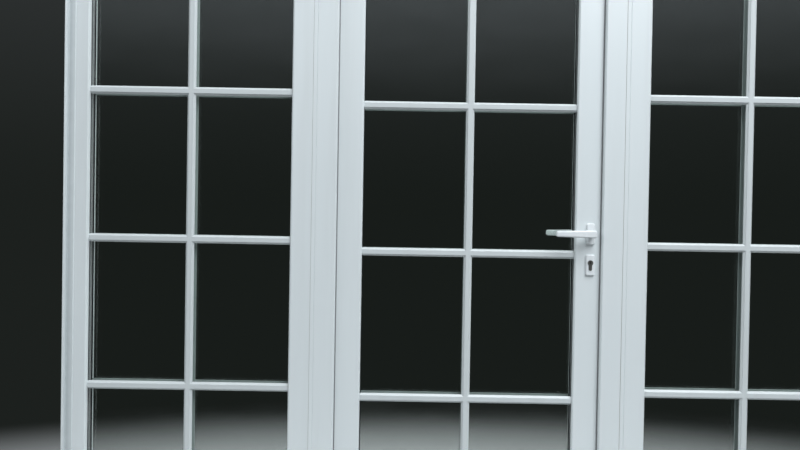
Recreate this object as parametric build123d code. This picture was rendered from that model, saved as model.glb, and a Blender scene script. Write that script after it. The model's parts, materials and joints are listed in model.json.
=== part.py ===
from build123d import *
import os

# Glazed door between two fixed sidelights, in white PVC-U, coupled side by side.
# X runs along the set, Y from the outside to the room, Z up, in millimetres.
# The origin is under the middle of the threshold, half way through the frames' depth.

# Frames
frame_height = 2140.0
frame_depth = 70.0
door_frame_width = 974.0
sidelight_width = 772.0
frame_face = 66.0
sight_chamfer = 4.0
edge_radius = 1.5
joint_clearance = 0.3

# Grooves in the outer edge of each frame, for couplings
groove_offset = 15.0
groove_width = 8.0
groove_depth = 5.0

# Glazing, from the outside to the room
leg_overlap = 20.0
leg_thickness = 14.0
gasket_thickness = 3.0
pane_thickness = 4.0
glass_cavity = 20.0
glass_edge_clearance = 5.0
spacer_width = 13.0
gasket_cover = 8.0
gasket_lip = 1.2
gasket_lip_thickness = 0.75
bead_edge = 8.0
bead_flat = 9.0
bead_foot_offset = 9.0
bead_foot_width = 6.0
bead_foot_depth = 4.5

# Bars on the faces of the glass
bar_width = 26.0
bar_height = 8.5
bar_side = 2.2
bar_bevel = 6.0
bar_step = 1.2
bar_rows = 4
bar_columns = 2
sidelight_bar_lift = 31.0

# Leaf
upstand_width = 24.0
upstand_thickness = 16.0
leaf_gap = 12.0
seal_gap = 3.0
leaf_face = 93.0
flange_reach = 18.0
flange_chamfer = 2.0
hardware_groove_width = 16.0
hardware_groove_depth = 3.0

# Seals between the leaf and its frame
seal_width = 12.0
seal_show = 3.0
seal_foot_from_edge = 4.0
seal_foot_width = 3.0
seal_foot_depth = 3.0
seal_foot_clearance = 0.1
seal_taper = 2.0
room_seal_width = 4.0
room_seal_inset = 1.0
room_seal_taper = 1.0

# Threshold
threshold_plate = 12.0
threshold_chamfer = 5.0
tread_groove_width = 3.0
tread_groove_depth = 1.0
tread_groove_pitch = 8.0
tread_groove_count = 4

# Drainage slots in the bottom rails
drain_length = 28.0
drain_width = 5.0
drain_inset = 110.0

# Couplings and cover trims
coupling_width = 13.0
coupling_chamfer = 1.0
trim_reach = 4.0
trim_cover = 24.0
trim_height = 16.0
trim_lip = 6.0
trim_edge = 2.5
trim_cove = 5.0

# Fixing holes through the outer jambs
fixing_diameter = 8.0
fixing_pitch = 600.0
fixing_first = 170.0

# Hinges
hinge_height = 100.0
hinge_end = 226.0
hinge_middle_knuckle = 36.0
hinge_knuckle_radius = 7.0
hinge_pin_radius = 4.0
hinge_pin_clearance = 0.15
hinge_cap_radius = 6.0
hinge_cap_height = 3.0
hinge_axis_gap = 7.0
hinge_axis_rise = 6.0
hinge_plate = 4.0
hinge_frame_leaf_width = 24.0
hinge_sash_leaf_width = 32.0
hinge_web = 6.0
hinge_radius = 2.0

# Lever handles
handle_height = 1123.0
backset = 45.0
lever_reach = 119.0
lever_height = 24.5
lever_tip_height = 18.5
lever_thickness = 13.0
lever_standoff = 38.0
lever_heel = 9.0
lever_edge_radius = 5.0
lever_corner_radius = 7.0
lever_heel_radius = 8.0
neck_radius = 9.0
neck_bite = 4.0
rose_width = 27.0
rose_height = 68.0
rose_thickness = 9.0
rose_corner_radius = 8.0
plate_edge = 2.5
spindle_side = 8.0
spindle_clearance = 0.2
spindle_socket = 22.0
socket_floor = 4.0

# Key cylinder and its escutcheons
cylinder_drop = 92.0
cylinder_radius = 8.5
cylinder_stem_width = 10.0
cylinder_height = 33.0
cylinder_proud = 2.0
escutcheon_width = 28.0
escutcheon_height = 66.0
escutcheon_thickness = 8.0
escutcheon_drop = 7.0
escutcheon_corner_radius = 5.0
core_radius = 6.5
core_clearance = 0.1
cam_radius = 15.0
cam_hub_radius = 8.2
cam_width = 9.4
cam_slot_width = 10.0
cam_lobe_width = 7.0
keyway_width = 2.6
keyway_height = 8.5
keyway_depth = 22.0

# Lock in the leaf
case_depth = 60.0
case_wall = 1.5
case_above_handle = 52.0
case_below_cylinder = 46.0
faceplate_inset = 176.0
follower_radius = 11.0
follower_journal_radius = 9.0
latch_projection = 9.5
latch_height = 18.0
latch_nose = 6.0
latch_slope = 9.0
latch_clearance = 1.5
latch_tail_clearance = 3.0
bolt_thickness = 12.0
bolt_height = 34.0
bolt_length = 41.0
bolt_throw = 19.0
bolt_above_cam = 0.5
bolt_edge = 1.0
bolt_pocket_beyond = 1.0
mortice_clearance = 0.3

# Keep on the frame
keep_thickness = 8.0
keep_margin = 12.0
keep_outer_margin = 3.0
keep_room_margin = 3.0
keep_radius = 2.0

# Planes and lines that follow from the sizes above
y_outside = -frame_depth / 2
y_room = frame_depth / 2
frame_rebate = frame_face - leg_overlap
leaf_rebate = frame_face - upstand_width
upstand_back = y_outside + upstand_thickness
leaf_outside = upstand_back + seal_gap
leaf_room = leaf_outside + frame_depth
flange_back = y_room + seal_gap

door_half = door_frame_width / 2
inner_half = door_half + coupling_width
outer_half = inner_half + sidelight_width
leaf_half = door_half - leaf_rebate - leaf_gap
leaf_bottom = threshold_plate + leaf_gap
leaf_top = frame_height - leaf_rebate - leaf_gap
sight_half = leaf_half - leaf_face
sight_bottom = leaf_bottom + leaf_face
sight_top = leaf_top - leaf_face
opening_half = door_half - frame_face
threshold_height = threshold_plate + upstand_width

seal_hidden = seal_width - seal_show
frame_seal_half = opening_half + seal_hidden
frame_seal_z = (threshold_height - seal_hidden, frame_height - frame_face + seal_hidden)
room_seal_half = leaf_half + flange_reach - room_seal_inset
room_seal_z = (leaf_bottom - flange_reach + room_seal_inset,
               leaf_top + flange_reach - room_seal_inset)

handle_x = leaf_half - backset
cylinder_z = handle_height - cylinder_drop
lock_y = (leaf_outside + leaf_room) / 2
lock_face_outside = lock_y - hardware_groove_width / 2
lock_face_room = lock_y + hardware_groove_width / 2
groove_floor_x = leaf_half - hardware_groove_depth
keep_face_x = door_half - leaf_rebate
bolt_pocket_x = leaf_half + bolt_throw + bolt_pocket_beyond

bar_pitch = (sight_top - sight_bottom) / bar_rows
door_bar_middle = (sight_top + sight_bottom) / 2
hinge_bore_radius = hinge_pin_radius + hinge_pin_clearance
hinge_x = -(leaf_half + flange_reach) - hinge_axis_gap
hinge_y = leaf_room + hinge_axis_rise
hinge_heights = {
    "bottom": leaf_bottom + hinge_end,
    "middle": door_bar_middle,
    "top": leaf_top - hinge_end,
}

# A reach past any section, and the share of a width that rounds its whole end
far = 4 * frame_depth
full_round = 0.49


def outline(points, rounded=None):
    """Face inside straight lines through the points, with a radius at the points named."""
    rounded = rounded or {}
    radii = [rounded.get(number, 0) for number in range(len(points))]
    if any(radii):
        return make_face(FilletPolyline(*points, radius=radii, close=True))
    return make_face(Polyline(*points, close=True))


def block(x_range, y_range, z_range):
    """Box between two values along each axis."""
    size = [high - low for low, high in (x_range, y_range, z_range)]
    middle = [(high + low) / 2 for low, high in (x_range, y_range, z_range)]
    return Pos(*middle) * Box(*size)


def along_y(face, y_from, y_to):
    """Solid of a face drawn in X and Z, between two depths."""
    plane = Plane((0, y_from, 0), x_dir=(1, 0, 0), z_dir=(0, -1, 0))
    return extrude(plane * face, -(y_to - y_from))


def mitred_sides(section, x_range, z_range, open_foot=False):
    """Lengths of one section round a rectangle: left, top, right and bottom.

    The section is drawn inwards from the rectangle and towards the room. Its corners are cut
    at 45 degrees. With an open foot there is no bottom length, and the jambs end square.
    """
    low, high = section.bounding_box().min.X, section.bounding_box().max.X

    def corners(inset):
        foot = z_range[0] if open_foot else z_range[0] + inset
        head = z_range[1] - inset
        left, right = x_range[0] + inset, x_range[1] - inset
        return [Vector(left, 0, foot), Vector(left, 0, head),
                Vector(right, 0, head), Vector(right, 0, foot)]

    outer, inner = corners(low), corners(high)
    lengths = []
    for number in range(3 if open_foot else 4):
        following = (number + 1) % 4
        start, end = outer[number], outer[following]
        direction = (end - start).normalized()
        inwards = Vector(0, 1, 0).cross(direction)
        plane = Plane(start - inwards * low, x_dir=inwards, z_dir=direction)
        length = extrude(plane * section, (end - start).length)
        wedge = [start, inner[number], inner[following], end]
        face = outline([(point.X, point.Z) for point in wedge])
        lengths.append(length & along_y(face, -far, far))
    return lengths


def welded(section, x_range, z_range, open_foot=False):
    """Frame of mitred lengths joined at the corners into one solid."""
    first, *others = mitred_sides(section, x_range, z_range, open_foot)
    return first.fuse(*others)


def edge_grooves(outline_face):
    """The section with the two outer grooves that couplings slide into."""
    for middle in (-groove_offset, groove_offset):
        slot = Pos(groove_depth / 2, middle) * Rectangle(groove_depth, groove_width)
        outline_face -= slot
    return outline_face


def bead_groove(rebate, y_bead):
    """Groove in the floor of a glazing rebate that holds the bead's foot."""
    depth = bead_foot_depth + joint_clearance
    width = bead_foot_width + 2 * joint_clearance
    middle = y_bead + bead_foot_offset + bead_foot_width / 2
    return Pos(rebate - depth / 2, middle) * Rectangle(depth, width)


def bead_plane(y_face):
    """Depth at which a bead starts, for a glazing leg whose outer face is at y_face."""
    unit = 2 * pane_thickness + glass_cavity
    return y_face + leg_thickness + 2 * gasket_thickness + unit


def euro_profile(extra=0.0):
    """Outline of the key cylinder: a round head with a straight stem below it."""
    head = Circle(cylinder_radius + extra)
    foot = cylinder_height - cylinder_radius + extra
    half = cylinder_stem_width / 2 + extra
    stem = outline([(-half, 0), (half, 0), (half, -foot), (-half, -foot)])
    stem = fillet(stem.vertices().group_by(Axis.Y)[0], 2 * half * full_round)
    return head + stem


def sidelight_frame(x_range):
    """Welded frame of one sidelight, with its glazing leg, bead groove and drainage slots."""
    section = outline(
        [(0, y_outside), (frame_face, y_outside), (frame_face, y_outside + leg_thickness),
         (frame_rebate, y_outside + leg_thickness), (frame_rebate, y_room), (0, y_room)],
        {0: edge_radius, 4: edge_radius, 5: edge_radius},
    )
    corner = section.vertices().sort_by_distance(Vector(frame_face, y_outside))[0]
    section = chamfer(corner, sight_chamfer)
    section = edge_grooves(section) - bead_groove(frame_rebate, bead_plane(y_outside))
    frame = welded(section, x_range, (0, frame_height))
    slot_z = frame_rebate + drain_width / 2
    for middle in (x_range[0] + drain_inset, x_range[1] - drain_inset):
        slot = Pos(middle, slot_z) * SlotOverall(drain_length, drain_width)
        frame -= along_y(slot, y_outside, y_outside + leg_thickness)
    return frame


def fixing_holes(x_from, x_to):
    """Row of holes through an outer jamb, on the middle of its depth."""
    holes = []
    rows = 1 + int((frame_height - 2 * fixing_first) // fixing_pitch)
    for row in range(rows):
        height = fixing_first + row * fixing_pitch
        plane = Plane((x_from, 0, height), x_dir=(0, 1, 0), z_dir=(1, 0, 0))
        holes.append(extrude(plane * Circle(fixing_diameter / 2), x_to - x_from))
    return holes


def bar_section():
    """Section of a glazing bar, standing on the glass: sides, bevels and a raised middle."""
    half = bar_width / 2
    step = half - bar_bevel
    low = bar_height - bar_step
    return outline([(-half, 0), (-half, bar_side), (-step, low), (-step, bar_height),
                    (step, bar_height), (step, low), (half, bar_side), (half, 0)])


def bar_grid(x_range, z_range, heights, y_glass, outwards):
    """Upright and cross bars of one light, welded where they cross.

    Their ends butt against the sight edges and are notched over the gasket's lip.
    """
    section = bar_section()
    width = x_range[1] - x_range[0]
    sign = -1 if outwards else 1
    grid = Part()
    for column in range(1, bar_columns):
        middle = x_range[0] + width * column / bar_columns
        plane = Plane((middle, y_glass, z_range[0]), x_dir=(sign, 0, 0), z_dir=(0, 0, 1))
        grid += extrude(plane * section, z_range[1] - z_range[0])
    for height in heights:
        plane = Plane((x_range[0], y_glass, height), x_dir=(0, 0, -sign), z_dir=(1, 0, 0))
        grid += extrude(plane * section, width)
    notch = gasket_lip + joint_clearance
    lip_top = y_glass + sign * (gasket_thickness + joint_clearance)
    depth = sorted((y_glass, lip_top))
    frame_area = block(x_range, depth, z_range)
    clear_area = block((x_range[0] + notch, x_range[1] - notch), depth,
                       (z_range[0] + notch, z_range[1] - notch))
    return grid - (frame_area - clear_area)


def glazing(prefix, x_range, z_range, y_face, bar_heights):
    """Double-glazed unit, gaskets, beads and bars in one sight opening."""
    y_glass = y_face + leg_thickness + gasket_thickness
    y_cavity = y_glass + pane_thickness
    y_inner = y_cavity + glass_cavity
    y_back = y_inner + pane_thickness
    y_bead = bead_plane(y_face)
    cover = leg_overlap - glass_edge_clearance
    glass_x = (x_range[0] - cover, x_range[1] + cover)
    glass_z = (z_range[0] - cover, z_range[1] + cover)

    def gasket(y_back, y_pane):
        lip = gasket_lip_thickness if y_back > y_pane else -gasket_lip_thickness
        face = outline([(0, y_back), (gasket_cover, y_back),
                        (gasket_cover + gasket_lip, y_pane + lip),
                        (gasket_cover + gasket_lip, y_pane), (0, y_pane)])
        return welded(face, (x_range[0] - gasket_cover, x_range[1] + gasket_cover),
                      (z_range[0] - gasket_cover, z_range[1] + gasket_cover))

    y_end = y_face + frame_depth
    foot_low = y_bead + bead_foot_offset
    bead = outline(
        [(0, y_bead), (leg_overlap, y_bead), (leg_overlap, y_bead + bead_edge),
         (bead_flat, y_end), (0, y_end), (0, foot_low + bead_foot_width),
         (-bead_foot_depth, foot_low + bead_foot_width), (-bead_foot_depth, foot_low),
         (0, foot_low)],
        {2: edge_radius, 3: edge_radius},
    )
    beads = mitred_sides(bead, (x_range[0] - leg_overlap, x_range[1] + leg_overlap),
                         (z_range[0] - leg_overlap, z_range[1] + leg_overlap))
    spacer = outline([(0, y_cavity), (spacer_width, y_cavity),
                      (spacer_width, y_inner), (0, y_inner)])
    return {
        f"{prefix}_outer_pane": block(glass_x, (y_glass, y_cavity), glass_z),
        f"{prefix}_inner_pane": block(glass_x, (y_inner, y_back), glass_z),
        f"{prefix}_spacer": welded(spacer, glass_x, glass_z),
        f"{prefix}_outer_gasket": gasket(y_glass - gasket_thickness, y_glass),
        f"{prefix}_inner_gasket": gasket(y_bead, y_back),
        f"{prefix}_beads": Compound(children=beads),
        f"{prefix}_outer_bars": bar_grid(x_range, z_range, bar_heights, y_glass, True),
        f"{prefix}_inner_bars": bar_grid(x_range, z_range, bar_heights, y_back, False),
    }


def sidelight(prefix, x_range, jamb_hole_range):
    """One fixed sidelight with its glazing and the fixing holes in its outer jamb."""
    frame = sidelight_frame(x_range)
    frame -= fixing_holes(*jamb_hole_range)
    sight_x = (x_range[0] + frame_face, x_range[1] - frame_face)
    sight_z = (frame_face, frame_height - frame_face)
    middle = door_bar_middle + sidelight_bar_lift
    pieces = {f"{prefix}_sidelight_frame": frame}
    pieces.update(glazing(f"{prefix}_sidelight", sight_x, sight_z, y_outside,
                          bar_levels(middle)))
    return pieces


def bar_levels(middle):
    """Heights of the cross bars, evenly spaced about the middle one."""
    first = middle - (bar_rows / 2 - 1) * bar_pitch
    return [first + row * bar_pitch for row in range(bar_rows - 1)]


def seal_ring(section, half_width, z_range):
    """Welded seal round the leaf."""
    return welded(section, (-half_width, half_width), z_range)


def foot_groove(middle, y_mouth, y_floor, clearance=0.0):
    """Rectangle in a section for a seal's foot, or with clearance for its groove."""
    low, high = sorted((y_mouth, y_floor))
    high, low = high + clearance, low - clearance
    width = seal_foot_width + 2 * clearance
    return Pos(middle, (low + high) / 2) * Rectangle(width, high - low)


def frame_seal():
    """Lip seal on the frame's upstand, held by a foot in a groove."""
    face = seal_gap - joint_clearance
    lip = outline([(0, upstand_back), (seal_width, upstand_back),
                   (seal_width - seal_taper, upstand_back + face),
                   (seal_taper, upstand_back + face)])
    foot = foot_groove(seal_foot_from_edge, upstand_back, upstand_back - seal_foot_depth)
    return seal_ring(lip + foot, frame_seal_half, frame_seal_z)


def room_seal():
    """Lip seal in the flange of the leaf, facing the frame's room side."""
    face = y_room + joint_clearance
    lip = outline([(0, flange_back), (room_seal_width, flange_back),
                   (room_seal_width - room_seal_taper, face), (room_seal_taper, face)])
    foot = foot_groove(room_seal_width / 2, flange_back, flange_back + seal_foot_depth)
    return seal_ring(lip + foot, room_seal_half, room_seal_z)


def frame_seal_groove():
    """Solid that cuts the frame seal's groove into the upstands."""
    groove = foot_groove(seal_foot_from_edge, upstand_back, upstand_back - seal_foot_depth,
                         seal_foot_clearance)
    return seal_ring(groove, frame_seal_half, frame_seal_z)


def door_frame():
    """Jambs and head of the door frame, with the upstand that the leaf shuts against.

    A pocket behind the keep takes the thrown deadbolt.
    """
    section = outline(
        [(0, y_outside), (frame_face, y_outside), (frame_face, upstand_back),
         (leaf_rebate, upstand_back), (leaf_rebate, y_room), (0, y_room)],
        {0: edge_radius, 2: edge_radius, 4: edge_radius, 5: edge_radius},
    )
    corner = section.vertices().sort_by_distance(Vector(frame_face, y_outside))[0]
    section = edge_grooves(chamfer(corner, sight_chamfer))
    frame = welded(section, (-door_half, door_half), (0, frame_height), open_foot=True)
    frame -= frame_seal_groove()
    return frame - block((keep_face_x, bolt_pocket_x), bolt_y(mortice_clearance),
                         bolt_z(mortice_clearance))


def bolt_y(extra=0.0):
    """Depth range of the latch and the deadbolt, in the middle of the lock."""
    return (lock_y - bolt_thickness / 2 - extra, lock_y + bolt_thickness / 2 + extra)


def bolt_z(extra=0.0):
    """Height range of the deadbolt, just above the cylinder's cam."""
    low = cylinder_z + cam_radius + bolt_above_cam
    return (low - extra, low + bolt_height + extra)


def latch_z(extra=0.0):
    """Height range of the latch, level with the handle."""
    return (handle_height - latch_height / 2 - extra, handle_height + latch_height / 2 + extra)


def threshold():
    """Low threshold: a ribbed plate under the leaf and an upstand between the jambs."""
    plate_half = door_half - leaf_rebate
    plate = block((-plate_half, plate_half), (upstand_back, y_room), (0, threshold_plate))
    first = (y_room + upstand_back) / 2 - (tread_groove_count - 1) * tread_groove_pitch / 2
    for number in range(tread_groove_count):
        middle = first + number * tread_groove_pitch
        plate -= block((-plate_half, plate_half),
                       (middle - tread_groove_width / 2, middle + tread_groove_width / 2),
                       (threshold_plate - tread_groove_depth, threshold_plate))
    upstand_face = outline([(y_outside, 0), (upstand_back, 0), (upstand_back, threshold_height),
                            (y_outside + threshold_chamfer, threshold_height),
                            (y_outside, threshold_height - threshold_chamfer)])
    plane = Plane((-opening_half, 0, 0), x_dir=(0, 1, 0), z_dir=(1, 0, 0))
    upstand = extrude(plane * upstand_face, 2 * opening_half)
    return plate + upstand - frame_seal_groove()


def coupling(x_from):
    """Post between two frames, with tongues that slide into their grooves."""
    body = Rectangle(coupling_width, frame_depth)
    body = chamfer(body.vertices(), coupling_chamfer)
    reach = groove_depth - joint_clearance
    width = groove_width - 2 * joint_clearance
    for middle in (-groove_offset, groove_offset):
        body += Pos(0, middle) * Rectangle(coupling_width + 2 * reach, width)
    return extrude(Pos(x_from + coupling_width / 2, 0) * body, frame_height)


def cover_trims():
    """Angle trim over the joint with the wall: a standing lip and a flat leg on the frame."""
    face = y_outside - trim_height
    flat = y_outside - trim_edge
    section = outline(
        [(-trim_reach, y_outside), (-trim_reach, face), (trim_lip - trim_reach, face),
         (trim_lip - trim_reach, flat), (trim_cover, flat), (trim_cover, y_outside)],
        {1: edge_radius, 2: edge_radius, 3: trim_cove, 4: edge_radius},
    )
    sides = mitred_sides(section, (-outer_half, outer_half), (0, frame_height), open_foot=True)
    return dict(zip(("left_cover_trim", "head_cover_trim", "right_cover_trim"), sides))


def door_sash():
    """Welded leaf: glazing leg, bead groove, hardware groove and flange, with the lock's cuts."""
    rebate = leaf_face - leg_overlap
    section = outline(
        [(0, leaf_outside), (leaf_face, leaf_outside), (leaf_face, leaf_outside + leg_thickness),
         (rebate, leaf_outside + leg_thickness), (rebate, leaf_room),
         (-flange_reach, leaf_room), (-flange_reach, flange_back), (0, flange_back)],
        {0: edge_radius, 4: edge_radius},
    )
    sight = section.vertices().sort_by_distance(Vector(leaf_face, leaf_outside))[0]
    section = chamfer(sight, sight_chamfer)
    flange = section.vertices().sort_by_distance(Vector(-flange_reach, leaf_room))[0]
    section = chamfer(flange, flange_chamfer)
    section -= bead_groove(rebate, bead_plane(leaf_outside))
    hardware = Rectangle(hardware_groove_depth, hardware_groove_width)
    section -= Pos(hardware_groove_depth / 2, lock_y) * hardware
    seal_middle = room_seal_inset - flange_reach + room_seal_width / 2
    section -= foot_groove(seal_middle, flange_back, flange_back + seal_foot_depth,
                           seal_foot_clearance)
    sash = welded(section, (-leaf_half, leaf_half), (leaf_bottom, leaf_top))
    case_x, case_y, case_z = case_ranges(mortice_clearance)
    neck_hole = Pos(handle_x, handle_height) * Circle(neck_radius + joint_clearance)
    cylinder_hole = Pos(handle_x, cylinder_z) * euro_profile(mortice_clearance)
    sash -= block(case_x, case_y, case_z)
    sash -= along_y(neck_hole, leaf_outside, leaf_room)
    sash -= along_y(cylinder_hole, leaf_outside, leaf_room)
    slot_z = sight_bottom - leg_overlap + drain_width / 2
    for middle in (-sight_half - leg_overlap + drain_inset, sight_half + leg_overlap - drain_inset):
        slot = Pos(middle, slot_z) * SlotOverall(drain_length, drain_width)
        sash -= along_y(slot, leaf_outside, leaf_outside + leg_thickness)
    return sash


def case_ranges(extra=0.0):
    """Ranges of the lock case along X, Y and Z, or with clearance those of its mortice."""
    x_range = (groove_floor_x - case_depth - extra, groove_floor_x)
    y_range = (lock_face_outside - extra, lock_face_room + extra)
    z_range = (cylinder_z - case_below_cylinder - extra,
               handle_height + case_above_handle + extra)
    return x_range, y_range, z_range


def lock_case():
    """Hollow case with windows for the bolts and holes for the follower and the cylinder."""
    x_range, y_range, z_range = case_ranges()
    case = block(x_range, y_range, z_range)
    inside = [(low + case_wall, high - case_wall) for low, high in (x_range, y_range, z_range)]
    case -= block(*inside)
    front = (inside[0][1] - case_wall, x_range[1])
    case -= block(front, bolt_y(joint_clearance), latch_z(joint_clearance))
    case -= block(front, bolt_y(joint_clearance), bolt_z(joint_clearance))
    journal = Pos(handle_x, handle_height) * Circle(follower_journal_radius + joint_clearance)
    case -= along_y(journal, *y_range)
    case -= along_y(Pos(handle_x, cylinder_z) * euro_profile(joint_clearance), *y_range)
    return case


def lock_faceplate():
    """Long plate in the leaf's edge, with windows for the latch and the deadbolt."""
    z_range = (leaf_bottom + faceplate_inset, leaf_top - faceplate_inset)
    face = Rectangle(hardware_groove_width, z_range[1] - z_range[0])
    face = fillet(face.vertices(), hardware_groove_width * full_round)
    plane = Plane((groove_floor_x, lock_y, sum(z_range) / 2), x_dir=(0, 1, 0), z_dir=(1, 0, 0))
    plate = extrude(plane * face, hardware_groove_depth)
    through = (groove_floor_x, leaf_half)
    plate -= block(through, bolt_y(joint_clearance), latch_z(joint_clearance))
    return plate - block(through, bolt_y(joint_clearance), bolt_z(joint_clearance))


def latch_bolt():
    """Spring latch at rest, its nose bevelled on the side that meets the keep."""
    tip = leaf_half + latch_projection
    tail = handle_x + follower_radius + latch_projection + latch_tail_clearance
    y_low, y_high = bolt_y()
    face = outline([(tail, y_low), (tip - latch_nose, y_low), (tip, y_low + latch_slope),
                    (tip, y_high), (tail, y_high)], {3: bolt_edge})
    return extrude(Plane((0, 0, latch_z()[0])) * face, latch_height)


def deadbolt():
    """Deadbolt, drawn back level with the faceplate."""
    bolt = block((leaf_half - bolt_length, leaf_half), bolt_y(), bolt_z())
    nose = bolt.edges().filter_by(Axis.Y).group_by(Axis.X)[-1]
    return chamfer(nose, bolt_edge)


def lock_follower():
    """Follower that the spindle turns: a disc with a journal at each face and a square hole."""
    place = Pos(handle_x, handle_height)
    disc_y = (lock_face_outside + case_wall + joint_clearance,
              lock_face_room - case_wall - joint_clearance)
    follower = along_y(place * Circle(follower_radius), *disc_y)
    follower += along_y(place * Circle(follower_journal_radius),
                        lock_face_outside, lock_face_room)
    hole = place * spindle_hole()
    return follower - along_y(hole, lock_face_outside, lock_face_room)


def spindle_hole():
    """Square hole that the spindle slides into."""
    side = spindle_side + spindle_clearance
    return Rectangle(side, side)


def spindle():
    """Square spindle from one lever's socket to the other's."""
    reach = rose_thickness + spindle_socket
    square = Pos(handle_x, handle_height) * Rectangle(spindle_side, spindle_side)
    return along_y(square, leaf_outside - reach, leaf_room + reach)


def lever():
    """Lever drawn for the outside, on an axis at the origin of X and Z, with Y from the leaf.

    The grip tapers to its tip and is rounded all over. The neck passes through the rose.
    """
    y_back = -lever_standoff
    y_front = y_back - lever_thickness
    half, tip_half = lever_height / 2, lever_tip_height / 2
    face = outline(
        [(lever_heel, -half), (lever_heel, half), (0, half),
         (-lever_reach, tip_half), (-lever_reach, -tip_half), (0, -half)],
        {0: lever_heel_radius, 1: lever_heel_radius, 3: lever_corner_radius,
         4: lever_corner_radius},
    )
    grip = along_y(face, y_front, y_back)
    long_edges = grip.faces().filter_by(Axis.Y).edges()
    grip = fillet(long_edges, min(lever_edge_radius, lever_thickness * full_round))
    neck = along_y(Circle(neck_radius), y_back - neck_bite, -joint_clearance)
    socket = along_y(spindle_hole(), -(rose_thickness + spindle_socket + socket_floor), 0)
    return grip + neck - socket


def rounded_plate(width, height, thickness, corner):
    """Plate on the leaf's outer face, with rounded corners and a bevelled front."""
    face = Rectangle(width, height)
    face = fillet(face.vertices(), corner)
    plate = along_y(face, -thickness, 0)
    front = plate.faces().sort_by(Axis.Y)[0]
    return chamfer(front.edges(), plate_edge)


def rose():
    """Rose of a lever, bored for the lever's neck."""
    plate = rounded_plate(rose_width, rose_height, rose_thickness, rose_corner_radius)
    return plate - along_y(Circle(neck_radius + joint_clearance), -rose_thickness, 0)


def escutcheon():
    """Plate round the key cylinder, on an axis through the cylinder's head."""
    plate = rounded_plate(escutcheon_width, escutcheon_height, escutcheon_thickness,
                          escutcheon_corner_radius)
    plate = Pos(0, 0, -escutcheon_drop) * plate
    return plate - along_y(euro_profile(joint_clearance), -escutcheon_thickness, 0)


def both_sides(name, piece, z_axis):
    """A piece drawn for the outside, placed on the leaf's outer face and on its room face."""
    inner = mirror(piece, about=Plane.XZ)
    return {
        f"outer_{name}": Pos(handle_x, leaf_outside, z_axis) * piece,
        f"inner_{name}": Pos(handle_x, leaf_room, z_axis) * inner,
    }


def cylinder_range():
    """Depth range of the key cylinder, a little proud of both escutcheons."""
    proud = escutcheon_thickness + cylinder_proud
    return leaf_outside - proud, leaf_room + proud


def cylinder_body():
    """Key cylinder, bored for its core and slotted at mid-depth for the cam."""
    place = Pos(handle_x, cylinder_z)
    body = along_y(place * euro_profile(), *cylinder_range())
    body -= along_y(place * Circle(core_radius + core_clearance), *cylinder_range())
    slot = (lock_y - cam_slot_width / 2, lock_y + cam_slot_width / 2)
    return body - along_y(place * Circle(cam_radius + joint_clearance), *slot)


def cylinder_core():
    """Turning core with a keyway at each end and the cam at mid-depth."""
    place = Pos(handle_x, cylinder_z)
    y_low, y_high = cylinder_range()
    core = along_y(place * Circle(core_radius), y_low, y_high)
    cam = Circle(cam_hub_radius) + Pos(0, cam_radius / 2) * Rectangle(cam_lobe_width, cam_radius)
    cam = cam & Circle(cam_radius)
    core += along_y(place * Rot(0, 0, 180) * cam, lock_y - cam_width / 2, lock_y + cam_width / 2)
    keyway = place * Rectangle(keyway_width, keyway_height)
    core -= along_y(keyway, y_low, y_low + keyway_depth)
    return core - along_y(keyway, y_high - keyway_depth, y_high)


def lock_keep():
    """Keep on the frame's rebate: a notch for the latch, open to the room, and a bolt hole."""
    y_range = (lock_face_outside - keep_outer_margin, lock_face_room + keep_room_margin)
    z_range = (bolt_z()[0] - keep_margin, latch_z()[1] + keep_margin)
    through = (keep_face_x - keep_thickness, keep_face_x)
    keep = block(through, y_range, z_range)
    keep = fillet(keep.edges().filter_by(Axis.Z).group_by(Axis.X)[0], keep_radius)
    keep -= block(through, bolt_y(mortice_clearance), bolt_z(mortice_clearance))
    notch_y = (bolt_y(mortice_clearance)[0], y_range[1])
    return keep - block(through, notch_y, latch_z(latch_clearance))


def knuckle(z_from, z_to):
    """Ring of a hinge round its pin."""
    ring = Circle(hinge_knuckle_radius) - Circle(hinge_bore_radius)
    return extrude(Pos(hinge_x, hinge_y, z_from) * ring, z_to - z_from)


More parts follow.
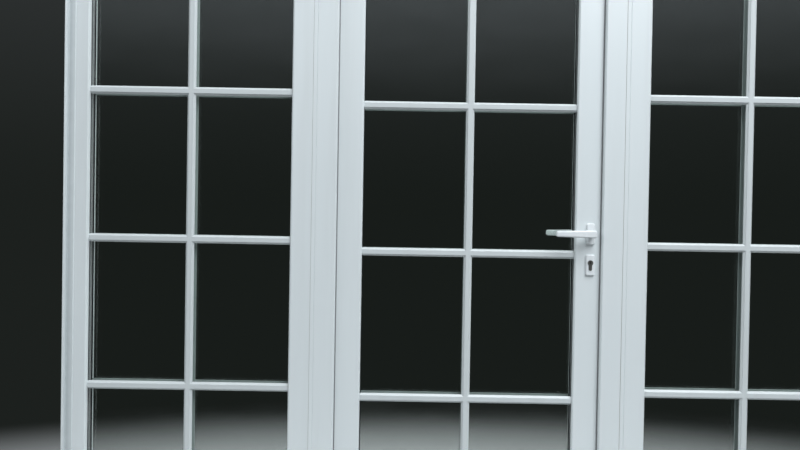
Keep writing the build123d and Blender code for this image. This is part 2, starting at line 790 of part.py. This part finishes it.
def hinge(middle):
    """One hinge: the leaf screwed to the frame, the leaf screwed to the sash, and the pin."""
    low, high = middle - hinge_height / 2, middle + hinge_height / 2
    inner_low = middle - hinge_middle_knuckle / 2
    inner_high = middle + hinge_middle_knuckle / 2
    bore = extrude(Pos(hinge_x, hinge_y, low) * Circle(hinge_bore_radius), hinge_height)

    web_x = (hinge_x - hinge_knuckle_radius, hinge_x - hinge_knuckle_radius + hinge_web)
    frame_x = (web_x[1] - hinge_frame_leaf_width, web_x[1])
    frame_leaf = block(frame_x, (y_room, y_room + hinge_plate), (low, high))
    far_edges = frame_leaf.edges().filter_by(Axis.Y).group_by(Axis.X)[0]
    frame_leaf = fillet(far_edges, hinge_radius)
    for z_range in ((low, inner_low - joint_clearance), (inner_high + joint_clearance, high)):
        frame_leaf += block(web_x, (y_room, hinge_y), z_range)
        frame_leaf += knuckle(*z_range)

    flange_edge = flange_chamfer - leaf_half - flange_reach
    sash_x = (flange_edge, flange_edge + hinge_sash_leaf_width)
    sash_leaf = block(sash_x, (leaf_room, leaf_room + hinge_plate), (low, high))
    far_edges = sash_leaf.edges().filter_by(Axis.Y).group_by(Axis.X)[-1]
    sash_leaf = fillet(far_edges, hinge_radius)
    sash_leaf += block((hinge_x, sash_x[0] + hinge_plate),
                       (leaf_room + joint_clearance, leaf_room + hinge_plate),
                       (inner_low, inner_high))
    sash_leaf += knuckle(inner_low, inner_high)

    pin = extrude(Pos(hinge_x, hinge_y, low) * Circle(hinge_pin_radius), hinge_height)
    for z_from, z_to in ((low - hinge_cap_height, low), (high, high + hinge_cap_height)):
        cap = Pos(hinge_x, hinge_y, z_from) * Circle(hinge_cap_radius)
        pin += extrude(cap, z_to - z_from)
    return {"frame_leaf": frame_leaf - bore, "sash_leaf": sash_leaf - bore, "pin": pin}


parts = {}
parts.update(sidelight("left", (-outer_half, -inner_half),
                       (-outer_half, -outer_half + frame_rebate)))
parts.update(sidelight("right", (inner_half, outer_half),
                       (outer_half - frame_rebate, outer_half)))
parts["door_frame"] = door_frame()
parts["threshold"] = threshold()
parts["left_coupling"] = coupling(-inner_half)
parts["right_coupling"] = coupling(door_half)
parts.update(cover_trims())
parts["frame_seal"] = frame_seal()
parts["lock_keep"] = lock_keep()
parts["door_sash"] = door_sash()
parts.update(glazing("door", (-sight_half, sight_half), (sight_bottom, sight_top),
                     leaf_outside, bar_levels(door_bar_middle)))
parts["sash_seal"] = room_seal()
for place, height in hinge_heights.items():
    for name, piece in hinge(height).items():
        parts[f"{place}_hinge_{name}"] = piece
parts["lock_case"] = lock_case()
parts["lock_faceplate"] = lock_faceplate()
parts["lock_follower"] = lock_follower()
parts["latch_bolt"] = latch_bolt()
parts["deadbolt"] = deadbolt()
parts["spindle"] = spindle()
parts.update(both_sides("lever", lever(), handle_height))
parts.update(both_sides("rose", rose(), handle_height))
parts.update(both_sides("escutcheon", escutcheon(), cylinder_z))
parts["cylinder_body"] = cylinder_body()
parts["cylinder_core"] = cylinder_core()

os.makedirs("parts", exist_ok=True)
for name, piece in parts.items():
    export_step(piece, f"parts/{name}.step")
print(len(parts), "parts")
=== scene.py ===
"""Finishes, fixings, light and camera for a white PVC-U glazed door between two sidelights.

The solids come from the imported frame. This script gives each its finish and adds the screw heads.
Lengths are in metres: X along the set, Y from the outside to the room, Z up.
"""

import json
import math

import bpy
import numpy as np
from mathutils import Matrix, Vector


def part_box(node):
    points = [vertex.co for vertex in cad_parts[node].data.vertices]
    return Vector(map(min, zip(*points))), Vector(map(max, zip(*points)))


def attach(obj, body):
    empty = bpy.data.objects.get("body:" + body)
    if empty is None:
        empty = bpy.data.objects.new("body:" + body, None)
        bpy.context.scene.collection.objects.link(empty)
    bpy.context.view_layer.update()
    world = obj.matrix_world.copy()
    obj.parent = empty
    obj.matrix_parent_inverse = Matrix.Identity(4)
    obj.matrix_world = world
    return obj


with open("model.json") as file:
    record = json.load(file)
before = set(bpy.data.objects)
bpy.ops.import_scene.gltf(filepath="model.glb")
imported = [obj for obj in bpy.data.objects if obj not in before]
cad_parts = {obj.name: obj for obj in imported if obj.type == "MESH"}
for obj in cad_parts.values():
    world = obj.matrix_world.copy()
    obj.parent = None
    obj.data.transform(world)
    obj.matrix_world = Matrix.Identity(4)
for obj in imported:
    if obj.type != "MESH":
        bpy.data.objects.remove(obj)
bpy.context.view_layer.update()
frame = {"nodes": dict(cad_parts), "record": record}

# Colours, as linear red, green and blue
PVCU_WHITE = (0.69, 0.735, 0.75)
PVCU_SHADE = (0.64, 0.69, 0.71)
# Painted shade that the cover trims' standing lip casts on the flat beside it
PVCU_PAINTED_LIP_SHADE = (0.40, 0.44, 0.455)
# Bars: the plastic's whites darkened as painted shade of the recess that the bars stand in
BAR_WHITE_IN_PAINTED_SHADE = (0.59, 0.63, 0.64)
BAR_DRIFT_IN_PAINTED_SHADE = (0.55, 0.59, 0.605)
PAINT_WHITE = (0.76, 0.79, 0.81)
GLASS_TINT = (0.87, 0.892, 0.88)
GASKET_BLACK = (0.012, 0.013, 0.016)
SPACER_SILVER = (0.42, 0.43, 0.44)
SEAL_GREY = (0.18, 0.185, 0.19)
ALUMINIUM = (0.56, 0.57, 0.58)
ZINC = (0.55, 0.56, 0.57)
NICKEL = (0.13, 0.128, 0.12)
# Grey of dust, seams and streaks, and of the painted shade in a coupling post's joint
DUST_AND_PAINTED_SHADE = (0.30, 0.29, 0.27)
FLOOR_PALE = (0.56, 0.57, 0.57)
BACKDROP = (0.012, 0.0145, 0.013)
BACKDROP_UPPER = (0.036, 0.040, 0.041)
FRONT_SKY = (0.42, 0.46, 0.50)
DAYLIGHT = (0.93, 0.97, 1.0)

# Strength of the soft daylight from the outside and from the room, and how far round it turns
AMBIENT_FRONT, AMBIENT_BACK, AMBIENT_TURN = 0.36, 0.15, 0.4

# Rise of the backdrop's upper tone and of the mirrored sky, as the upward part of a direction
BACKDROP_RISE = (0.0, 0.5)
SKY_RISE = (0.14, 0.42)

# Floor: half its size, where its painted pool of light fades, and the pool's narrower shape across
# and in front
FLOOR_HALF = 30.0
PAINTED_POOL_FADE = (0.7, 1.9)
PAINTED_POOL_ACROSS, PAINTED_POOL_SHOWN_LONGER = 0.5, 0.12

# Widths of the welded profiles, along which a mitre's seam runs
FRAME_FACE = 0.066
LEAF_FACE = 0.093
BEAD_FACE = 0.020
SEAM_WIDTH, SEAM_DEPTH = 0.0007, 0.0002

# Height of the plastic's fine grain
PVCU_GRAIN = 0.00003

# Width of the painted shade in the joint's gap between a coupling post and the frame to the left of
# it
JOINT_SHADE_WIDTH = 0.0011

# Where the painted shade of a standing lip lies on the cover trims, from their outer edge
LIP_SHADE_FROM, LIP_SHADE_TO = 0.006, 0.0265

# Heights of the paint's peel, the glass's waves, the rubber's grain and the metal's lines
PAINT_PEEL, GLASS_WAVES, RUBBER_GRAIN, METAL_LINES = 0.00001, 0.0006, 0.00008, 0.00003

# Pierced slots of the spacer: radians of their wave to a metre, and their depth
SPACER_SLOTS, SLOT_DEPTH = 1200.0, 0.0002

# Screw heads: the dome stands on a low rim, whose edge turns down into the surface
SCREW_RADIUS = 0.0036
SCREW_DOME, SCREW_RIM, SCREW_SUNK = 0.0008, 0.0002, 0.0004
SCREW_RECESS = 0.0012

# Arms of their cross recess, as shares of the head's radius, with the slopes at side and end
ARM_HALF_WIDTH, ARM_SIDE = 0.17, 0.07
ARM_REACH, ARM_END = 0.62, 0.08

# Where the screws stand: up the plates as shares of their height, and in from their edges
HINGE_SCREW_HEIGHTS = (0.14, 0.5, 0.86)
FACEPLATE_SCREW_HEIGHTS = (0.012, 0.2, 0.36, 0.66, 0.82, 0.988)
FRAME_PLATE, FRAME_SCREW_SHIFT = 0.004, 0.003
SASH_PLATE, SASH_SCREW_INSET = 0.005, 0.012
KEEP_SCREW_INSET = 0.0055

# Where the photograph was taken from, and the photograph's frame in pixels
CAMERA_PLACE = Vector((-0.1877, -2.150, 1.1736))
CAMERA_YAW = math.radians(0.010)
CAMERA_PITCH = math.radians(-0.709)
CAMERA_ROLL = math.radians(0.975)
FOCAL_PIXELS = 669.7
SHIFT_PIXELS = (-10.0, -1.6)
FRAME_PIXELS = 800
SENSOR_WIDTH = 36.0


class Nodes:
    """A tree of shader nodes being made."""

    def __init__(self, tree):
        self.tree = tree

    def add(self, kind, inputs=None, **settings):
        """A node of one kind, with its settings, and its inputs by name or number."""
        node = self.tree.nodes.new("ShaderNode" + kind)
        for setting, value in settings.items():
            setattr(node, setting, value)
        for socket, value in (inputs or {}).items():
            self.feed(node.inputs[socket], value)
        return node

    def feed(self, socket, value):
        if isinstance(value, bpy.types.NodeSocket):
            self.tree.links.new(value, socket)
        else:
            socket.default_value = value

    def maths(self, operation, *values):
        node = self.add("Math", dict(enumerate(values)), operation=operation)
        return node.outputs[0]

    def graded(self, value, from_low, from_high, to_low=0.0, to_high=1.0, smooth=False):
        """Value carried from one range to another, and held at its ends."""
        node = self.add("MapRange", {"Value": value, "From Min": from_low, "From Max": from_high,
                                     "To Min": to_low, "To Max": to_high},
                        interpolation_type="SMOOTHSTEP" if smooth else "LINEAR")
        return node.outputs["Result"]

    def between(self, share, first, second):
        """Colour that goes from the first to the second as share goes from 0 to 1."""
        mix = self.add("Mix", data_type="RGBA")
        self.feed(mix.inputs["Factor"], share)
        for socket, colour in ((mix.inputs["A"], first), (mix.inputs["B"], second)):
            self.feed(socket, colour if isinstance(colour, bpy.types.NodeSocket) else (*colour, 1))
        return mix.outputs["Result"]


class Finish(Nodes):
    """A material being made: one Principled shader and the nodes that feed it."""

    def __init__(self, name, colour, roughness, **sockets):
        self.material = bpy.data.materials.new(name)
        self.material.use_nodes = True
        super().__init__(self.material.node_tree)
        self.shader = self.tree.nodes["Principled BSDF"]
        self.shader.inputs["Base Color"].default_value = (*colour, 1)
        self.shader.inputs["Roughness"].default_value = roughness
        for socket, value in sockets.items():
            self.shader.inputs[socket.replace("_", " ")].default_value = value
        self.place = self.add("TexCoord").outputs["Object"]

    def axes(self):
        """The three coordinates of a point of the piece."""
        return self.add("SeparateXYZ", {0: self.place}).outputs

    def noise(self, scale, stretch=(1, 1, 1), detail=3.0, roughness=0.55):
        """Even noise from 0 to 1. A stretch below 1 lengthens it along that axis."""
        stretched = self.add("Mapping", {"Vector": self.place, "Scale": stretch})
        noise = self.add("TexNoise", {"Vector": stretched.outputs[0], "Scale": scale,
                                      "Detail": detail, "Roughness": roughness})
        return noise.outputs["Fac"]

    def colour(self, value):
        self.feed(self.shader.inputs["Base Color"], value)

    def roughness(self, value):
        self.feed(self.shader.inputs["Roughness"], value)

    def relief(self, height, depth):
        """Bump of a height from 0 to 1 that stands for a depth in metres."""
        bump = self.add("Bump", {"Height": height, "Strength": 1.0, "Distance": depth})
        self.feed(self.shader.inputs["Normal"], bump.outputs[0])


def mitre_seam(finish, low, high, face, foot):
    """Mask of the seams at a frame's corners: 1 on the 45 degree line, 0 off it.

    A point's distance in from the nearer side is compared with that from the nearer end. A frame
    without a foot has only its upper corners.
    """
    x, _, z = finish.axes()
    side = finish.maths("MINIMUM", finish.maths("SUBTRACT", x, low.x),
                        finish.maths("SUBTRACT", high.x, x))
    end = finish.maths("SUBTRACT", high.z, z)
    if foot:
        end = finish.maths("MINIMUM", end, finish.maths("SUBTRACT", z, low.z))
    off_line = finish.maths("ABSOLUTE", finish.maths("SUBTRACT", side, end))
    on_line = finish.graded(off_line, SEAM_WIDTH / 2, SEAM_WIDTH, 1.0, 0.0)
    on_face = finish.maths("LESS_THAN", side, face)
    return finish.maths("MULTIPLY", on_line, on_face)


def white_pvcu(name, seam=None, lip_shaded_inside=None, joint=None,
               white=PVCU_WHITE, shade=PVCU_SHADE):
    """Satin extruded plastic: broad tone drift, faint rain streaks, drawn lines and seams.

    Inside the rectangle given, painted shade lies along the lip that stands round its edge. Painted
    shade of a gap also darkens a strip beside an upright joint, to the right of it.
    """
    finish = Finish(name, white, 0.3)
    drift = finish.graded(finish.noise(1.6, detail=2.0), 0.3, 0.7)
    streaks = finish.graded(finish.noise(14.0, stretch=(1, 1, 0.06), detail=4.0), 0.5, 0.78)
    tone = finish.between(finish.maths("MULTIPLY", drift, 0.35), white, shade)
    tone = finish.between(finish.maths("MULTIPLY", streaks, 0.10), tone, DUST_AND_PAINTED_SHADE)
    # Painted shade along the cover trim's standing lip, darkest just inside it
    if lip_shaded_inside:
        tone = finish.between(painted_lip_shade(finish, *lip_shaded_inside), tone, PVCU_PAINTED_LIP_SHADE)
    # Painted shade of the joint's gap, on the coupling post beside the frame to its left
    if joint is not None:
        dust_and_joint_shade = finish.graded(finish.axes()[0], joint + 0.7 * JOINT_SHADE_WIDTH, joint + JOINT_SHADE_WIDTH,
                              0.9, 0.0)
        tone = finish.between(dust_and_joint_shade, tone, DUST_AND_PAINTED_SHADE)
    drawn = finish.noise(260.0, detail=2.0)
    gloss = finish.graded(finish.noise(9.0, detail=5.0), 0.25, 0.8, 0.30, 0.38)
    height = finish.maths("MULTIPLY", drawn, PVCU_GRAIN / SEAM_DEPTH)
    if seam:
        mask = mitre_seam(finish, *seam)
        tone = finish.between(finish.maths("MULTIPLY", mask, 0.55), tone, DUST_AND_PAINTED_SHADE)
        height = finish.maths("SUBTRACT", height, mask)
    finish.colour(tone)
    finish.roughness(gloss)
    finish.relief(height, SEAM_DEPTH)
    return finish.material


def painted_lip_shade(finish, low, high):
    """Mask of painted shade, strongest just inside a standing lip and fading over the flat beside
    it.
    """
    x, _, z = finish.axes()
    side = finish.maths("MINIMUM", finish.maths("SUBTRACT", x, low.x),
                        finish.maths("SUBTRACT", high.x, x))
    depth = finish.maths("MINIMUM", side, finish.maths("SUBTRACT", high.z, z))
    started = finish.graded(depth, LIP_SHADE_FROM, LIP_SHADE_FROM + SEAM_WIDTH)
    fading = finish.graded(depth, LIP_SHADE_FROM, LIP_SHADE_TO, 0.85, 0.4, smooth=True)
    patchy = finish.graded(finish.noise(30.0, detail=5.0), 0.2, 0.6, 0.75, 1.0)
    mask = finish.maths("MULTIPLY", finish.maths("MULTIPLY", started, fading), patchy)
    return finish.maths("MULTIPLY", mask, finish.maths("LESS_THAN", depth, LIP_SHADE_TO))


def white_paint():
    """Powder coat on metal: a fine orange peel under a clean gloss."""
    finish = Finish("white_powder_coat", PAINT_WHITE, 0.3, Coat_Weight=0.2, Coat_Roughness=0.15)
    peel = finish.noise(900.0, detail=1.0)
    handled = finish.graded(finish.noise(40.0), 0.35, 0.7, 0.27, 0.34)
    wear = finish.graded(finish.noise(20.0, detail=2.0), 0.4, 0.75, 0.0, 0.3)
    finish.colour(finish.between(wear, PAINT_WHITE, PVCU_SHADE))
    finish.roughness(handled)
    finish.relief(peel, PAINT_PEEL)
    return finish.material


def clear_glass():
    """Float glass with a faint green cast and roller waves. Lamps shine through it."""
    finish = Finish("clear_glass", GLASS_TINT, 0.0, Transmission_Weight=1.0, IOR=1.5)
    waves = finish.noise(3.2, stretch=(1, 1, 2.2), detail=1.0)
    finish.relief(waves, GLASS_WAVES)
    open_way = finish.add("BsdfTransparent", {"Color": (*GLASS_TINT, 1)})
    ray = finish.add("LightPath")
    mix = finish.add("MixShader", {0: ray.outputs["Is Shadow Ray"],
                                   1: finish.shader.outputs[0], 2: open_way.outputs[0]})
    surface = finish.tree.nodes["Material Output"].inputs["Surface"]
    finish.feed(surface, mix.outputs[0])
    return finish.material


def rubber(name, colour, roughness):
    """Extruded rubber: dull, with dust in its grain."""
    finish = Finish(name, colour, roughness)
    grain = finish.noise(700.0, detail=2.0)
    dust_and_joint_shade = finish.graded(finish.noise(24.0, detail=5.0), 0.5, 0.8, 0.0, 0.14)
    finish.colour(finish.between(dust_and_joint_shade, colour, DUST_AND_PAINTED_SHADE))
    finish.roughness(finish.graded(grain, 0.2, 0.8, roughness - 0.1, roughness + 0.12))
    finish.relief(grain, RUBBER_GRAIN)
    return finish.material


def spacer_bar():
    """Mill aluminium spacer with its rows of small pierced slots along the middle."""
    finish = Finish("aluminium_spacer_bar", SPACER_SILVER, 0.5, Metallic=0.7)
    x, _, z = finish.axes()
    along = finish.maths("ADD", x, z)
    wave = finish.maths("SINE", finish.maths("MULTIPLY", along, SPACER_SLOTS))
    slots = finish.graded(wave, 0.55, 0.8)
    cloudy = finish.graded(finish.noise(40.0), 0.3, 0.7, 0.0, 0.35)
    dull = tuple(0.6 * channel for channel in SPACER_SILVER)
    finish.colour(finish.between(cloudy, SPACER_SILVER, dull))
    finish.relief(finish.maths("SUBTRACT", 1.0, slots), SLOT_DEPTH)
    finish.roughness(finish.graded(finish.noise(300.0), 0.3, 0.7, 0.42, 0.6))
    return finish.material


def drawn_metal(name, colour, roughness, stretch, scratch_scale=380.0, metallic=1.0):
    """Metal with fine lines along the way that it was drawn or brushed."""
    finish = Finish(name, colour, roughness, Metallic=metallic)
    lines = finish.noise(scratch_scale, stretch=stretch, detail=3.0)
    cloudy = finish.noise(26.0, detail=4.0)
    dull = tuple(0.72 * channel for channel in colour)
    finish.colour(finish.between(finish.graded(cloudy, 0.35, 0.75, 0.0, 0.5), colour, dull))
    finish.roughness(finish.graded(lines, 0.25, 0.75, roughness - 0.08, roughness + 0.14))
    finish.relief(lines, METAL_LINES)
    return finish.material


# Finishes of the record's material slots
finishes = {
    "white_pvcu": white_pvcu("white_pvcu"),
    "white_painted_metal": white_paint(),
    "glass": clear_glass(),
    "spacer": spacer_bar(),
    "gasket_rubber": rubber("black_gasket", GASKET_BLACK, 0.55),
    "seal_rubber": rubber("grey_seal", SEAL_GREY, 0.6),
    "threshold_aluminium": drawn_metal("anodised_aluminium", ALUMINIUM, 0.34, (0.02, 1, 1)),
    "plated_steel": drawn_metal("zinc_plated_steel", ZINC, 0.32, (1, 1, 0.04)),
    "cylinder_brass": drawn_metal("nickel_plated_brass", NICKEL, 0.35, (1, 1, 1), 900.0, 0.5),
}

# Profiles that are welded or mitred at the corners, with the width of their faces
seamed = {
    "left_sidelight_frame": (FRAME_FACE, True),
    "right_sidelight_frame": (FRAME_FACE, True),
    "door_frame": (FRAME_FACE, False),
    "door_sash": (LEAF_FACE, True),
    "left_sidelight_beads": (BEAD_FACE, True),
    "right_sidelight_beads": (BEAD_FACE, True),
    "door_beads": (BEAD_FACE, True),
}


# The frame that ends at the left of each coupling post
frame_before = {"left_coupling": "left_sidelight_frame", "right_coupling": "door_frame"}


def dress(node, finish):
    """Gives a CAD node one finish."""
    piece = frame["nodes"][node]
    piece.data.materials.clear()
    piece.data.materials.append(finish)


trim_box = [Vector(corner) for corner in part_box("head_cover_trim")]
# The cover trims carry painted shade just inside their standing lip
trim_lip_shade_finish = white_pvcu("white_pvcu_trim_lip_shade", lip_shaded_inside=trim_box)
# The bars' darker whites are painted shade of their recess
bar_painted_shade_finish = white_pvcu("white_pvcu_bars_painted_shade", white=BAR_WHITE_IN_PAINTED_SHADE, shade=BAR_DRIFT_IN_PAINTED_SHADE)

for subpart in frame["record"]["subparts"]:
    node = subpart["node"]
    if node.endswith("cover_trim"):
        dress(node, trim_lip_shade_finish)
    elif node.endswith("_bars"):
        dress(node, bar_painted_shade_finish)
    elif node in frame_before:
        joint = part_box(frame_before[node])[1][0]
        dress(node, white_pvcu(f"white_pvcu_{node}", joint=joint))
    elif node in seamed:
        face, foot = seamed[node]
        low, high = (Vector(corner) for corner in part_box(node))
        dress(node, white_pvcu(f"white_pvcu_{node}", (low, high, face, foot)))
    else:
        dress(node, finishes[subpart["material_slot"]])


def surface_piece(name, points, finish, body):
    """Mesh of grids of points, shape (pieces, rows, columns, 3), closed along the columns."""
    count, rows, columns, _ = points.shape
    number = np.arange(count * rows * columns).reshape(count, rows, columns)
    following = np.roll(number, -1, axis=2)
    quads = np.stack([number[:, :-1], number[:, 1:], following[:, 1:], following[:, :-1]],
                     axis=-1).reshape(-1, 4)
    mesh = bpy.data.meshes.new(name)
    mesh.from_pydata(points.reshape(-1, 3), [], quads)
    mesh.shade_smooth()
    mesh.materials.append(finish)
    piece = bpy.data.objects.new(name, mesh)
    bpy.context.scene.collection.objects.link(piece)
    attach(piece, body)
    return piece


def screw_heads(places, outward):
    """Points of raised screw heads at the places, on an upright surface that faces outward.

    Each is a grid of radius and angle. Its height is that of the dome times one minus the square
    of the radius, less a cross recess that is deep where either in-plane distance is small. The
    last row turns down at the rim, into the surface.
    """
    share = np.array([0.0, 0.12, 0.2, 0.3, 0.42, 0.55, 0.62, 0.72, 0.86, 0.95, 1.0, 1.0])
    angle = np.linspace(0, 2 * np.pi, 48, endpoint=False)
    r, a = np.meshgrid(share, angle, indexing="ij")
    u, v = r * np.cos(a), r * np.sin(a)
    arm = np.minimum(np.abs(u), np.abs(v))
    recess = (np.clip((ARM_HALF_WIDTH - arm) / ARM_SIDE, 0, 1)
              * np.clip((ARM_REACH - r) / ARM_END, 0, 1))
    height = SCREW_DOME * (1 - r ** 2) + SCREW_RIM - SCREW_RECESS * recess
    height[-1] = -SCREW_SUNK
    outward, up = np.array(outward, float), np.array((0.0, 0.0, 1.0))
    across = np.cross(up, outward)
    local = (SCREW_RADIUS * (u[..., None] * across + v[..., None] * up)
             + height[..., None] * outward)
    return np.asarray(places, float)[:, None, None, :] + local[None]


screw_finish = drawn_metal("zinc_screw", ZINC, 0.3, (1, 1, 1), 700.0, 0.6)


def screw_column(x, y, foot, head, shares):
    """Places of screws one above another, at shares of the way from foot to head."""
    return [(x, y, foot + share * (head - foot)) for share in shares]


def hinge_screws():
    """Screws of the three hinges: three in each plate, on its face towards the room."""
    on_frame, on_leaf = [], []
    for place in ("bottom", "middle", "top"):
        pin_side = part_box(f"{place}_hinge_pin")[0][0]
        low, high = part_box(f"{place}_hinge_frame_leaf")
        on_frame += screw_column((low[0] + pin_side) / 2 - FRAME_SCREW_SHIFT, low[1] + FRAME_PLATE,
                                 low[2], high[2], HINGE_SCREW_HEIGHTS)
        low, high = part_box(f"{place}_hinge_sash_leaf")
        on_leaf += screw_column(high[0] - SASH_SCREW_INSET, low[1] + SASH_PLATE,
                                low[2], high[2], HINGE_SCREW_HEIGHTS)
    for name, places, body in (("hinge_screws_on_frame", on_frame, "frame"),
                               ("hinge_screws_on_leaf", on_leaf, "leaf")):
        surface_piece(name, screw_heads(places, (0, 1, 0)), finishes["white_painted_metal"],
                      body)


def lock_screws():
    """Screws of the lock's faceplate and of its keep, on the faces that meet when shut."""
    low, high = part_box("lock_faceplate")
    places = screw_column(high[0], (low[1] + high[1]) / 2, low[2], high[2],
                          FACEPLATE_SCREW_HEIGHTS)
    surface_piece("faceplate_screws", screw_heads(places, (1, 0, 0)), screw_finish,
                  "leaf")
    low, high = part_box("lock_keep")
    places = screw_column(low[0], (low[1] + high[1]) / 2, low[2] + KEEP_SCREW_INSET,
                          high[2] - KEEP_SCREW_INSET, (0, 1))
    surface_piece("keep_screws", screw_heads(places, (-1, 0, 0)), screw_finish,
                  "frame")


hinge_screws()
lock_screws()


def studio_floor():
    """Plain pale floor with a painted pool of light, which fades into a glow of the backdrop's
    colour.

    It fades soon behind the set. In front it fades farther off where it is seen, directly, in
    gloss or through glass. The light that it throws on the set is that of a floor which fades
    soon on both sides.
    """
    corners = [(x * FLOOR_HALF, y * FLOOR_HALF, 0) for x, y in ((-1, -1), (1, -1), (1, 1), (-1, 1))]
    mesh = bpy.data.meshes.new("floor")
    mesh.from_pydata(corners, [], [(0, 1, 2, 3)])
    floor = bpy.data.objects.new("floor", mesh)
    bpy.context.scene.collection.objects.link(floor)
    finish = Finish("studio_floor", FLOOR_PALE, 0.75)
    x, y, _ = finish.axes()
    seen = finish.maths("LESS_THAN", finish.add("LightPath").outputs["Diffuse Depth"], 1.0)
    shortening = finish.maths("MULTIPLY_ADD", seen, PAINTED_POOL_SHOWN_LONGER, -1.0)
    away = finish.maths("MAXIMUM", y, finish.maths("MULTIPLY", y, shortening))
    across = finish.maths("MULTIPLY", x, PAINTED_POOL_ACROSS)
    narrowed = finish.add("CombineXYZ", {0: across, 1: away})
    reach = finish.add("VectorMath", {0: narrowed.outputs[0]}, operation="LENGTH")
    # Painted pool of light: the floor darkens with distance and glows with the backdrop's colour
    # instead
    painted_pool_fade = finish.graded(reach.outputs["Value"], *PAINTED_POOL_FADE, smooth=True)
    finish.colour(finish.between(painted_pool_fade, FLOOR_PALE, (0, 0, 0)))
    finish.feed(finish.shader.inputs["Emission Color"], (*BACKDROP, 1))
    finish.feed(finish.shader.inputs["Emission Strength"], painted_pool_fade)
    finish.feed(finish.shader.inputs["Specular IOR Level"], 0.0)
    mesh.materials.append(finish.material)


def studio_world():
    """A dark backdrop, seen directly, in gloss and through glass, and soft daylight elsewhere.

    The glass also mirrors a pale sky, high in front of the set. A ray that has met a matt surface
    carries that surface's light, so it takes the daylight, which is stronger from the outside
    than from the room.
    """
    world = bpy.data.worlds.new("studio")
    bpy.context.scene.world = world
    world.use_nodes = True
    world.node_tree.nodes.clear()
    sky = Nodes(world.node_tree)
    direction = sky.add("TexCoord").outputs["Generated"]
    _, y, z = sky.add("SeparateXYZ", {0: direction}).outputs
    ray = sky.add("LightPath").outputs

    backdrop = sky.between(sky.graded(z, *BACKDROP_RISE, smooth=True), BACKDROP, BACKDROP_UPPER)
    in_front = sky.maths("LESS_THAN", y, 0.0)
    unseen = sky.maths("SUBTRACT", in_front, ray["Is Camera Ray"])
    sky_share = sky.maths("MULTIPLY", sky.graded(z, *SKY_RISE, smooth=True), unseen)
    mirrored = sky.between(sky_share, backdrop, FRONT_SKY)

    front, back = (tuple(strength * channel for channel in DAYLIGHT)
                   for strength in (AMBIENT_FRONT, AMBIENT_BACK))
    roomward = sky.graded(y, -AMBIENT_TURN, AMBIENT_TURN, smooth=True)
    daylight = sky.between(roomward, front, back)

    matt = sky.maths("GREATER_THAN", ray["Diffuse Depth"], 0.0)
    shown = sky.between(matt, mirrored, daylight)
    background = sky.add("Background", {"Color": shown})
    sky.add("OutputWorld", {"Surface": background.outputs[0]})


def softbox(name, place, target, size, power, mirrored):
    """Square area lamp that faces a point. Glass and gloss mirror it only where that is asked."""
    lamp = bpy.data.lights.new(name, "AREA")
    lamp.shape, lamp.size, lamp.energy, lamp.color = "SQUARE", size, power, DAYLIGHT
    holder = bpy.data.objects.new(name, lamp)
    bpy.context.scene.collection.objects.link(holder)
    holder.location = place
    aim = Vector(target) - Vector(place)
    holder.rotation_euler = aim.to_track_quat("-Z", "Y").to_euler()
    holder.visible_camera = False
    holder.visible_transmission = False
    holder.visible_glossy = mirrored


def studio_lamps():
    """A large key lamp high in front, a weak fill at the left, and two lamps in the room."""
    upper, middle = (0, 0, 1.7), (0, 0, 1.1)
    softbox("high_key", (1.3, -2.7, 4.7), upper, size=3.4, power=260, mirrored=True)
    softbox("left_fill", (-4.4, -3.0, 2.8), middle, size=2.4, power=34, mirrored=False)
    softbox("back_left", (-3.2, 3.6, 3.4), middle, size=2.6, power=140, mirrored=False)
    softbox("back_right", (3.2, 3.8, 3.4), middle, size=2.6, power=105, mirrored=False)


def photo_camera():
    """Camera where the photograph was taken, turned by its yaw, pitch and roll."""
    camera = bpy.data.cameras.new("camera")
    holder = bpy.data.objects.new("camera", camera)
    bpy.context.scene.collection.objects.link(holder)
    camera.sensor_width = SENSOR_WIDTH
    camera.lens = SENSOR_WIDTH * FOCAL_PIXELS / FRAME_PIXELS
    camera.shift_x, camera.shift_y = (shift / FRAME_PIXELS for shift in SHIFT_PIXELS)
    forward = Vector((math.sin(CAMERA_YAW) * math.cos(CAMERA_PITCH),
                      math.cos(CAMERA_YAW) * math.cos(CAMERA_PITCH), math.sin(CAMERA_PITCH)))
    right = Vector((math.cos(CAMERA_YAW), -math.sin(CAMERA_YAW), 0))
    up = right.cross(forward)
    rolled_right = math.cos(CAMERA_ROLL) * right + math.sin(CAMERA_ROLL) * up
    rolled_up = math.cos(CAMERA_ROLL) * up - math.sin(CAMERA_ROLL) * right
    turn = Matrix((rolled_right, rolled_up, -forward)).transposed()
    holder.matrix_world = Matrix.Translation(CAMERA_PLACE) @ turn.to_4x4()
    bpy.context.scene.camera = holder


studio_floor()
studio_world()
studio_lamps()
photo_camera()
bpy.context.scene.view_settings.view_transform = "Standard"
